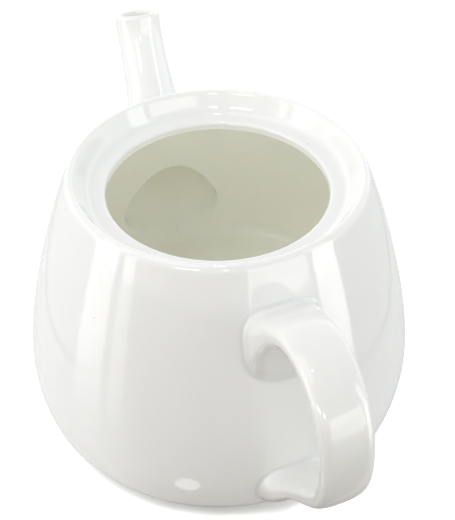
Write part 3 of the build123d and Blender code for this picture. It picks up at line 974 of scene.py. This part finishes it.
# Upright lights facing the Z axis: name, degrees round from TOWARD to RIGHT, bottom, top,
# width, distance, radiance. The last two are a two-pane window above and behind the camera.
PANELS = (
    ("softbox_left", -74, 0.0, 0.36, 0.52, 1.5, 2.6),
    ("softbox_left_top", -74, 0.36, 1.25, 0.46, 1.5, 1.95),
    ("strip_left", -55.5, 0.0, 0.36, 0.20, 1.5, 2.0),
    ("strip_left_top", -55.5, 0.36, 1.00, 0.16, 1.5, 1.60),
    ("softbox_right", 70.5, 0.0, 0.36, 0.44, 1.5, 3.6),
    ("softbox_right_top", 70.5, 0.36, 1.25, 0.38, 1.5, 2.1),
    ("wall_right", 38, 0.0, 0.70, 1.08, 1.5, 1.75),
    ("pane_wide", -21, 0.98, 1.26, 0.62, 2.0, 9.0),
    ("pane_narrow", 4, 1.00, 1.22, 0.24, 2.0, 9.0))
# Square lights from above: name, degrees, distance from the axis, height, side, radiance,
# whether they light diffusely too.
OVERHEADS = (
    ("lamp_a", 0, 0.06, 1.10, 0.05, 60.0, False),
    ("lamp_b", -40, 0.30, 1.10, 0.03, 60.0, False),
    ("ceiling", -80, 0.50, 1.05, 0.9, 1.06, True))
OVERHEAD_TARGET_Z = 0.09


def add_light(name, degrees, out, z, target_z, width, height, radiance, diffuse):
    lamp = bpy.data.lights.new(name, "AREA")
    lamp.shape = "RECTANGLE"
    lamp.size = width
    lamp.size_y = height
    lamp.energy = radiance * math.pi * width * height
    light = bpy.data.objects.new(name, lamp)
    bpy.context.scene.collection.objects.link(light)
    angle = math.radians(degrees)
    level = (math.cos(angle) * TOWARD + math.sin(angle) * RIGHT) * out
    light.location = (level[0], level[1], z)
    aim = Vector((0.0, 0.0, target_z)) - Vector((level[0], level[1], z))
    light.rotation_euler = aim.to_track_quat("-Z", "Y").to_euler()
    light.visible_diffuse = diffuse


for name, degrees, bottom, top, width, out, radiance in PANELS:
    middle = (bottom + top) / 2
    add_light(name, degrees, out, middle, middle, width, top - bottom, radiance, diffuse=False)
for name, degrees, out, z, side, radiance, diffuse in OVERHEADS:
    add_light(name, degrees, out, z, OVERHEAD_TARGET_Z, side, side, radiance, diffuse)


# ---- floor
FLOOR_HALF, FLOOR_CELLS = 3.0, 24
# Reflections of the soft lights: from and to degrees, softness, strength.
STREAKS = ((-83, -65, 1.2, 1.5), (-60, -51, 1.0, 0.9), (62, 79, 1.2, 2.7), (18, 62, 1.2, 0.45))


def reflected_sheet(g, across, toward):
    """What the pot sees below it: a white sheet with an edge, on a sand-coloured table."""
    side = g.calc("SUBTRACT", g.calc("ABSOLUTE", across), 0.150)
    front = g.calc("SUBTRACT", toward, 0.178)
    edge = g.calc("SMOOTH_MAX", side, front, 0.03)
    beyond = g.ramp(edge, span=(-0.002, 0.002))
    line_in = g.ramp(edge, span=(-0.006, -0.001))
    line_out = g.ramp(edge, span=(0.001, 0.006), out=(1.0, 0.0))
    edge_line = g.calc("MULTIPLY", line_in, line_out)
    ahead = g.calc("MULTIPLY_ADD", g.calc("ABSOLUTE", across), -0.6, toward)
    # painted shade: sheet and table darken and warm towards the camera, whose side gets less
    # light; the table's sand colour is its own
    table = g.mix(g.ramp(ahead, span=(-0.05, 0.14)), (0.80, 0.80, 0.795), (0.26, 0.230, 0.185))
    sheet = g.mix(g.ramp(ahead, span=(0.02, 0.10)), (0.82, 0.82, 0.82), (0.30, 0.278, 0.236))
    seen = g.mix(beyond, sheet, table)
    return g.mix(g.calc("MULTIPLY", edge_line, 0.7), seen, (0.30, 0.29, 0.27))


def streak(g, azimuth, low, high, soft, strength):
    low, high, soft = map(math.radians, (low, high, soft))
    rising = g.ramp(azimuth, span=(low - soft, low + soft))
    falling = g.ramp(azimuth, span=(high - soft, high + soft), out=(1.0, 0.0))
    return g.calc("MULTIPLY", g.calc("MULTIPLY", rising, falling), strength)


def floor_streaks(g, across, toward):
    """The soft lights carried on below the horizon as long streaks, and one bright disc, a lamp's
    image: painted light on the floor, seen only in reflections.
    """
    incoming = g.new("ShaderNodeNewGeometry").outputs["Incoming"]
    azimuth = g.calc("ARCTAN2", g.calc("MULTIPLY", g.dot(RIGHT, incoming), -1.0),
                     g.calc("MULTIPLY", g.dot(TOWARD, incoming), -1.0))
    steep = (math.sin(math.radians(14)), math.sin(math.radians(38)))
    fade = g.ramp(g.dot(UP, incoming), span=steep, out=(1.0, 0.08))
    parts = [streak(g, azimuth, *values) for values in STREAKS]
    total = parts[-1]
    for part in parts[-2::-1]:
        total = g.calc("ADD", part, total)
    disc_x = g.calc("DIVIDE", g.calc("ADD", across, 0.016), 0.0066)
    disc_y = g.calc("DIVIDE", g.calc("SUBTRACT", toward, 0.094), 0.0068)
    disc = g.calc("ADD", g.calc("MULTIPLY", disc_x, disc_x), g.calc("MULTIPLY", disc_y, disc_y))
    disc = g.ramp(disc, span=(0.70, 1.40), out=(1.6, 0.0))
    return g.calc("ADD", g.calc("MULTIPLY", total, fade), disc)


def floor_material():
    """A pale sheet to the camera. To the pot it is a sheet on a table, with streaks of light."""
    material = bpy.data.materials.new("pale_sweep")
    g = Graph(material)
    place = g.coords("Object")
    path = g.new("ShaderNodeLightPath").outputs
    grain = g.noise(place, scale=700.0, detail=3.0, rough=0.6)
    pale = g.mix(g.ramp(grain, span=(0.3, 0.7)), (0.865, 0.865, 0.860), (0.885, 0.885, 0.880))
    across, toward = g.dot(RIGHT, place), g.dot(TOWARD, place)
    colour = g.mix(path["Is Camera Ray"], reflected_sheet(g, across, toward), pale)
    paper = g.new("ShaderNodeBsdfPrincipled", {
        "Base Color": colour, "Roughness": 0.38, "Specular IOR Level": 0.2})
    # a glow for the camera that drops away where the pot touches down: a painted contact shadow
    near = g.new("ShaderNodeAmbientOcclusion", {"Distance": 0.016}, samples=16)
    painted_contact_shadow = g.ramp(near.outputs["AO"], span=(0.42, 0.53), out=(0.10, 0.62))
    streaks = g.calc("MULTIPLY", floor_streaks(g, across, toward), path["Is Glossy Ray"])
    glow = g.new("ShaderNodeEmission", {
        "Color": (1, 1, 1, 1),
        "Strength": g.calc("MULTIPLY_ADD", path["Is Camera Ray"], painted_contact_shadow, streaks)})
    both = g.new("ShaderNodeAddShader", {0: paper.outputs[0], 1: glow.outputs[0]})
    g.new("ShaderNodeOutputMaterial", {"Surface": both.outputs[0]})
    return material


def build_floor():
    side = FLOOR_CELLS + 1
    ticks = [FLOOR_HALF * (2 * i / FLOOR_CELLS - 1) for i in range(side)]
    faces = [(k, k + 1, k + side + 1, k + side)
             for j in range(FLOOR_CELLS) for k in range(j * side, j * side + FLOOR_CELLS)]
    mesh = bpy.data.meshes.new("sweep")
    mesh.from_pydata([(x, y, 0.0) for y in ticks for x in ticks], [], faces)
    floor = bpy.data.objects.new("floor", mesh)
    bpy.context.scene.collection.objects.link(floor)
    mesh.materials.append(floor_material())
    return floor


build_floor()


# ---- world: brightest at the horizon, dim and warm low down behind the camera
def build_world():
    world = bpy.data.worlds.new("studio")
    g = Graph(world)
    way = g.coords("Generated")
    height, toward, side = g.dot(UP, way), g.dot(TOWARD, way), g.dot(RIGHT, way)
    level = g.ramp(height, span=(0.0, 0.80), out=(1.62, 0.60))
    dim = g.ramp(toward, span=(0.22, 0.94), out=(1.0, 0.46))
    lift = g.ramp(height, span=(0.00, 0.30))
    dim = g.calc("MAXIMUM", dim, g.calc("MULTIPLY", lift, 0.95))
    sides = g.ramp(side, span=(-1.0, 1.0), out=(1.16, 1.08))
    strength = g.calc("MULTIPLY", g.calc("MULTIPLY", level, dim), sides)
    tint = g.mix(g.ramp(side, span=(-1.0, 1.0)), (1.0, 1.0, 0.995), (0.975, 1.0, 0.995))
    tint = g.mix(g.ramp(dim, span=(0.4, 0.95), out=(1.0, 0.0)), tint, (1.0, 0.945, 0.84))
    sky = g.new("ShaderNodeBackground", {"Color": tint, "Strength": strength})
    g.new("ShaderNodeOutputWorld", {"Surface": sky.outputs[0]})
    return world


scene = bpy.context.scene
scene.world = build_world()

# ---- camera: above the handle's side, looking down at the bowl
CAMERA_UP, CAMERA_BACK = (0.64652, -0.23531, 0.72570), (-0.68193, 0.24820, 0.68801)
CAMERA_PLACE = (-0.17065, 0.05857, 0.22571)
lens = bpy.data.cameras.new("photo_view")
lens.lens = 45.0
lens.sensor_width = 36.0
lens.clip_start = 0.01
lens.clip_end = 20.0
camera = bpy.data.objects.new("photo_view", lens)
scene.collection.objects.link(camera)
axes = (*zip(RIGHT, CAMERA_UP, CAMERA_BACK, CAMERA_PLACE), (0, 0, 0, 1))
camera.matrix_world = Matrix(axes)
scene.camera = camera

# ---- render
scene.view_settings.view_transform = "Standard"
scene.view_settings.look = "None"
scene.view_settings.exposure = 0.0
scene.view_settings.gamma = 1.0
scene.cycles.max_bounces = 18
scene.cycles.diffuse_bounces = 16
scene.cycles.glossy_bounces = 5
scene.cycles.caustics_reflective = False
scene.cycles.caustics_refractive = False
scene.cycles.sample_clamp_indirect = 6.0
scene.cycles.use_denoising = True

bpy.context.view_layer.update()
